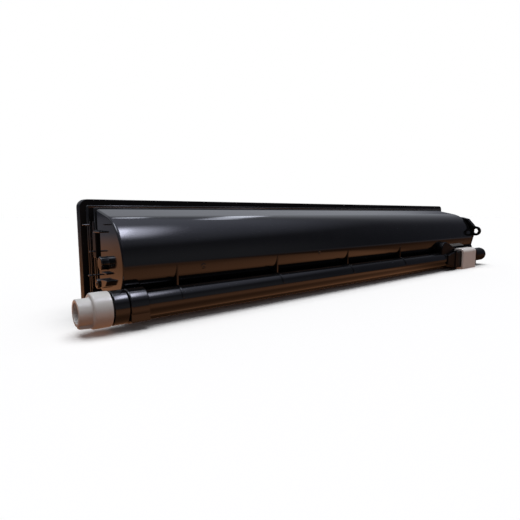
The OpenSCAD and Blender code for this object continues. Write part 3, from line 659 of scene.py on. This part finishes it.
def make_coupling():
    """The drive coupling: a skirt and a nose turned round the auger's axis, with a key under the nose."""
    part = Part()
    skirt0, skirt1, nose0, socket1 = -9.2, 0.6, -16.2, -10.2
    part.turned(AX, [
        (3.02, skirt1, 0), (3.02, socket1, 0), (5.4, socket1, 0), (5.4, nose0, 0.4), (7.4, nose0, 0.5),
        (7.4, skirt0, 0.7), (9.9, skirt0, 1.4), (9.9, skirt1, 0.3), (8.1, skirt1, 0.25),
        (8.1, skirt0 + 2.4, 0.4), (4.6, skirt0 + 2.4, 0.4), (4.6, skirt1, 0.25)], 128)
    lean = math.radians(15.0)
    cos, sin = math.cos(lean), math.sin(lean)
    tip, root = nose0 + 0.4, skirt0 + 2
    key = Part()
    key.prism([(tip, -6.4), (root, -6.4), (root, -9.2), (nose0 + 1.6, -8.8), (tip, -8.0)],
              -2.2, 2.2, "y", 0.5, 3)
    for v in key.bm.verts:
        x, y, z = v.co
        v.co = (x, AX[0] + y * cos + z * sin, AX[1] - y * sin + z * cos)
    part.add(key.bm)
    part.done("coupling_hub", M_GREY, "auger", sharp=35.0, replaces=("drive_coupling",))


# Corners of the gear cover's straight sides, its middle, and the radius round the idler
COVER_CORNERS = [(-2, 17), (-2, 62), (-29, 59.4), (-36.6, 57.4), (-43.7, 49.6), (-42.9, 36)]
COVER_MID = (-24.0, 38.0)
IDLER_R = 13.87


def cover_outline(inset):
    """Outline of the gear cover, set in by inset."""
    pts = []
    for y, z in COVER_CORNERS:
        dy, dz = COVER_MID[0] - y, COVER_MID[1] - z
        pts.append((y + math.copysign(inset, dy), z + math.copysign(inset, dz) * (abs(dz) > 5)))
    pts += arc(IDLER, IDLER_R - inset, 153.0, 172.5, 6)
    pts += arc(AX, BOSS_R - inset, 82.0, 280.0, 40)
    pts += arc(IDLER, IDLER_R - inset, 235.0, 350.0, 24)
    return pts


def make_cover():
    """The gear cover: a deep cap with a bearing boss, and an ear with the locating hole."""
    part = Part()
    outline = cover_outline(0.0)
    sharp_ends = len(COVER_CORNERS)
    radii = [0.6] * sharp_ends + [0.0] * (len(outline) - sharp_ends)
    part.prism(round_corners(outline, radii, 3)[::-1], WX1 + 0.02, CASE_X1, "x", 0.5, 3, 60.0)
    tools = Part()
    tools.prism(cover_outline(COVER_T)[::-1], WX1 - 1.0, CASE_X1 - COVER_T, "x", 0.0)
    for p in SCREWS:
        tools.rod(p, 1.5, WX1 - 2, CASE_X1 + 1, 32)
    part.cut(tools)
    part.turned(AX, [(3.1, CASE_X1 - 1, 0), (BOSS_R - 0.3, CASE_X1 - 1, 0), (BOSS_R - 0.3, BOSS_X1, 2.0),
                     (0, BOSS_X1, 0), (0, BOSS_X1 - 3, 0), (3.1, BOSS_X1 - 3, 0)], 96)
    ear = Part()
    y, z = EAR
    outline = arc(EAR, EAR_R, 90.0, 270.0, 32) + [(y + 6, z - EAR_R), (y + 6, z + EAR_R + 2)]
    ear.prism(outline, WX1 + 1.0, WX1 + 4.0, "x", 0.4, 3, 50.0)
    hole = Part()
    hole.rod(EAR, EAR_HOLE, WX1 - 1, WX1 + 6, 48)
    inside = Part()
    inside.prism(cover_outline(COVER_T)[::-1], WX1 - 1.0, CASE_X1 - COVER_T, "x", 0.0)
    ear.cut(hole)
    ear.cut(inside)
    part.add(ear.bm)
    part.done("cover_case", M_DULL, "housing", sharp=35.0, replaces=("gear_cover",))


def make_shutter():
    """The shutter: a folded skin round the block's front, with a lip at the end of each arm."""
    part = Part()
    y0, z0, z1 = -BLK_F - GAP - SH_T, BLK_Z0 - GAP - SH_T, BLK_Z1 + GAP + SH_T
    c = (-BLK_F + BLK_R, BLK_Z1 - BLK_R)
    top_end, low_end = -LIP_Y + LIP_W, -LOW_LIP_Y + LIP_W
    top_lip, low_lip = BLK_Z1 - LIP_D + GAP, BLK_Z0 - GAP + LIP_D
    skin = [(low_end, z0), (y0, z0)] + arc(c, BLK_R + GAP + SH_T, 180, 90, 10)
    skin += [(top_end, z1), (top_end, top_lip), (-LIP_Y, top_lip), (-LIP_Y, BLK_Z1 + GAP)]
    skin += arc(c, BLK_R + GAP, 90, 180, 8)
    skin += [(-BLK_F - GAP, BLK_Z0 - GAP), (-LOW_LIP_Y, BLK_Z0 - GAP)]
    skin += [(-LOW_LIP_Y, low_lip), (low_end, low_lip)]
    part.prism(skin[::-1], SH_X0, SH_X1, "x", 0.28, 3, 40.0)
    part.done("shutter_slide_piece", M_PALE, "shutter", sharp=35.0,
              replaces=("outlet_shutter",))


make_hopper()
make_flange()
make_channel()
make_gussets()
make_drive_details()
make_outlet_block()
make_lid()
make_collar()
make_coupling()
make_cover()
make_shutter()


# Stage and light
class Graph:
    """Short calls for the value and vector nodes of one node tree."""

    def __init__(self, nt):
        self.nt = nt

    def node(self, kind, *values):
        n = self.nt.nodes.new(kind)
        for socket, v in zip(n.inputs, values):
            if isinstance(v, bpy.types.NodeSocket):
                self.nt.links.new(v, socket)
            elif v is not None:
                socket.default_value = v
        return n

    def math(self, op, *values):
        n = self.node("ShaderNodeMath", *values)
        n.operation = op
        return n.outputs[0]

    def vector(self, op, *values):
        n = self.node("ShaderNodeVectorMath", *values)
        n.operation = op
        return n.outputs["Value"] if op in ("DOT_PRODUCT", "LENGTH") else n.outputs["Vector"]

    def step(self, value, lo, hi):
        """Rises smoothly from 0 at lo to 1 at hi. With lo above hi it falls."""
        n = self.node("ShaderNodeMapRange", value, min(lo, hi), max(lo, hi), float(lo > hi), float(lo < hi))
        n.interpolation_type = "SMOOTHSTEP"
        return n.outputs[0]

    def partly(self, mask, share):
        """1 where the mask is 1, and less by the given share where it is 0."""
        return self.math("ADD", self.product(mask, share), 1.0 - share)

    def product(self, *values):
        out = values[0]
        for v in values[1:]:
            out = self.math("MULTIPLY", out, v)
        return out

    def tinted(self, value, tint):
        n = self.nt.nodes.new("ShaderNodeVectorMath")
        n.operation = "SCALE"
        n.inputs[0].default_value = tint
        self.nt.links.new(value, n.inputs["Scale"])
        return n.outputs["Vector"]

    def total(self, *vectors):
        out = vectors[0]
        for v in vectors[1:]:
            out = self.vector("ADD", out, v)
        return out

    def mix(self, factor, a, b):
        n = self.nt.nodes.new("ShaderNodeMixShader")
        for socket, v in zip(n.inputs, (factor, a, b)):
            self.nt.links.new(v, socket)
        return n.outputs[0]

    def shader(self, kind, color, strength=None):
        n = self.nt.nodes.new(kind)
        if isinstance(color, bpy.types.NodeSocket):
            self.nt.links.new(color, n.inputs["Color"])
        else:
            n.inputs["Color"].default_value = (*color, 1.0)
        if strength is not None:
            n.inputs["Strength"].default_value = strength
        return n.outputs[0]


# The floor's white, the brown it glows for diffuse rays as painted bounce light, and the brown and dark grey
# it glows for glossy rays as a painted reflection of a brown surface and a dark distance
FLOOR_WHITE, PAINTED_BOUNCE_GLOW = (0.97, 0.97, 0.97), (0.25, 0.105, 0.053)
PAINTED_REFLECTION_BROWN, DISTANCE = (0.85, 0.38, 0.19), (0.16, 0.16, 0.19)


def make_floor():
    """A white floor that keeps the object's shadow, and that glows brown for the black gloss: a painted
    reflection of a brown surface, with painted shadow near the object.
    """
    m, nt, out = node_mat("stage_floor")
    gr = Graph(nt)
    ray = nt.nodes.new("ShaderNodeLightPath").outputs
    place = nt.nodes.new("ShaderNodeNewGeometry").outputs["Position"]
    x, y, z = gr.node("ShaderNodeSeparateXYZ", place).outputs
    # The painted brown reflection fades with the distance from the object, is darker under it as painted
    # shadow, and is weaker to its right.
    reach = gr.vector("LENGTH", gr.vector("MULTIPLY", place, (0.25, 1.0, 1.0)))
    # Painted shadow in the reflection: the brown is dimmed close in front of and under the object.
    clear = gr.step(gr.math("ABSOLUTE", y), 0.033, 0.052)
    left = gr.step(x, 0.16, 0.06)
    wide = gr.product(gr.step(reach, 1.1, 0.3), 0.5)
    close = gr.product(gr.step(reach, 0.25, 0.04), 0.5)
    warm = gr.product(gr.math("ADD", wide, close), gr.partly(clear, 0.65), gr.partly(left, 0.7))
    far = gr.step(reach, 0.2, 1.0)
    painted_reflection = gr.total(gr.tinted(warm, PAINTED_REFLECTION_BROWN), gr.tinted(far, DISTANCE))
    # Camera rays see the white floor under the lamps. Diffuse rays see a brown glow, which is painted bounce
    # light. Glossy rays see a glow that is a painted reflection.
    white = gr.shader("ShaderNodeBsdfDiffuse", FLOOR_WHITE)
    painted_bounce = gr.shader("ShaderNodeEmission", PAINTED_BOUNCE_GLOW, 1.0)
    mirror = gr.shader("ShaderNodeEmission", painted_reflection, 1.0)
    seen = gr.mix(ray["Is Glossy Ray"], gr.mix(ray["Is Diffuse Ray"], white, painted_bounce), mirror)
    nt.links.new(seen, out.inputs[0])
    bm = bmesh.new()
    bmesh.ops.create_grid(bm, x_segments=1, y_segments=1, size=6.0)
    me = bpy.data.meshes.new("stage_floor")
    bm.to_mesh(me)
    bm.free()
    me.materials.append(m)
    floor = bpy.data.objects.new("stage_floor", me)
    bpy.context.scene.collection.objects.link(floor)


# Narrow lights behind the object that the crown mirrors, and one at the left that rounded edges
# mirror: direction, half width in degrees, strength
STREAKS = [((0.356, 0.689, 0.631), 3.2, 3.0), ((0.547, 0.485, 0.682), 4.0, 2.4),
           ((0.575, 0.560, 0.596), 4.0, 2.6), ((0.598, 0.627, 0.498), 4.0, 2.4),
           ((-0.41, 0.19, 0.88), 18.0, 7.0)]


def make_world():
    """A white background, with a soft overhead lamp, a band behind and dark surroundings for the gloss."""
    world = bpy.data.worlds.new("studio")
    bpy.context.scene.world = world
    world.use_nodes = True
    nt = world.node_tree
    nt.nodes.clear()
    out = nt.nodes.new("ShaderNodeOutputWorld")
    gr = Graph(nt)
    way = nt.nodes.new("ShaderNodeTexCoord").outputs["Generated"]
    x, y, z = gr.node("ShaderNodeSeparateXYZ", way).outputs
    # The overhead lamp, placed by where a ray meets a ceiling one unit up: a core with a glow beside it
    up = gr.math("MAXIMUM", z, 0.05)
    u = gr.math("DIVIDE", x, up)
    v = gr.math("DIVIDE", y, up)
    along = gr.math("ABSOLUTE", gr.math("ADD", v, 0.2))
    edge = gr.product(gr.step(u, 0.312, 0.348), gr.step(z, 0.4, 0.6))
    core = gr.product(edge, gr.step(u, 0.392, 0.366), gr.step(along, 0.34, 0.08), 11.0)
    glow = gr.product(edge, gr.step(u, 0.54, 0.36), gr.step(along, 0.46, 0.05), 6.5)
    lamp = gr.math("ADD", core, glow)
    # A halo round the zenith
    wide = gr.product(gr.step(z, 0.55, 0.85), 0.42)
    narrow = gr.product(gr.step(z, 0.80, 0.95), 0.25)
    halo = gr.math("ADD", wide, narrow)
    # A pale band behind the object, a weak light in front of it, and a dark grey all round
    flat = gr.math("SQRT", gr.math("MAXIMUM", gr.math("SUBTRACT", 1.0, gr.product(z, z)), 0.001))
    side = gr.math("DIVIDE", y, flat)
    low = gr.partly(gr.step(z, 0.68, 0.48), 0.75)
    band = gr.product(gr.step(z, 0.165, 0.22), low, gr.step(side, -0.25, 0.75), 0.42)
    front = gr.product(gr.step(z, 0.70, 0.12), gr.step(side, -0.55, -0.85), 0.12)
    base = gr.step(z, -2.0, -1.5)
    lights = [gr.tinted(lamp, (0.90, 0.92, 1.12)), gr.tinted(halo, (0.88, 0.93, 1.18)),
              gr.tinted(band, (0.93, 0.97, 1.05)), gr.tinted(base, (0.062, 0.065, 0.085)),
              gr.tinted(front, (1.0, 1.0, 1.05))]
    for d, width, strength in STREAKS:
        near = gr.vector("DOT_PRODUCT", way, Vector(d).normalized())
        spot = gr.step(near, math.cos(math.radians(width)), 1.0)
        lights.append(gr.tinted(gr.product(spot, strength), (0.95, 1.0, 1.15)))
    # Glossy rays see this room, diffuse rays a soft fill, and camera and transmission rays plain white.
    room = gr.shader("ShaderNodeBackground", gr.total(*lights), 1.0)
    soft = gr.shader("ShaderNodeBackground", (0.18, 0.18, 0.19), 1.0)
    white = gr.shader("ShaderNodeBackground", (1.0, 1.0, 1.0), 1.0)
    ray = nt.nodes.new("ShaderNodeLightPath").outputs
    clear = gr.math("MAXIMUM", ray["Is Camera Ray"], ray["Is Transmission Ray"])
    nt.links.new(gr.mix(clear, gr.mix(ray["Is Glossy Ray"], soft, room), white), out.inputs[0])


def make_key_light():
    """A very soft lamp straight overhead, left out of the reflections, which the world's lamp gives."""
    ld = bpy.data.lights.new("key_overhead", "SUN")
    ld.energy = 2.67
    ld.angle = math.radians(60.0)
    lo = bpy.data.objects.new("key_overhead", ld)
    bpy.context.scene.collection.objects.link(lo)
    lo.location = (0.0, 0.0, 1.0)
    lo.visible_glossy = False


def make_camera():
    """The photograph's place and angle of view."""
    focal_px, frame_px, sensor = 396.8547, 520.0, 36.0
    cd = bpy.data.cameras.new("camera")
    cd.sensor_width = sensor
    cd.lens = focal_px / frame_px * sensor
    cd.clip_start = 0.01
    cam = bpy.data.objects.new("camera", cd)
    bpy.context.scene.collection.objects.link(cam)
    cam.location = V(-68.1496, -260.5294, 65.1891)
    cam.rotation_euler = (math.pi / 2 - 0.1188, 0.0, -0.6792)
    bpy.context.scene.camera = cam


make_floor()
make_world()
make_key_light()
make_camera()
bpy.context.scene.view_settings.view_transform = "Standard"
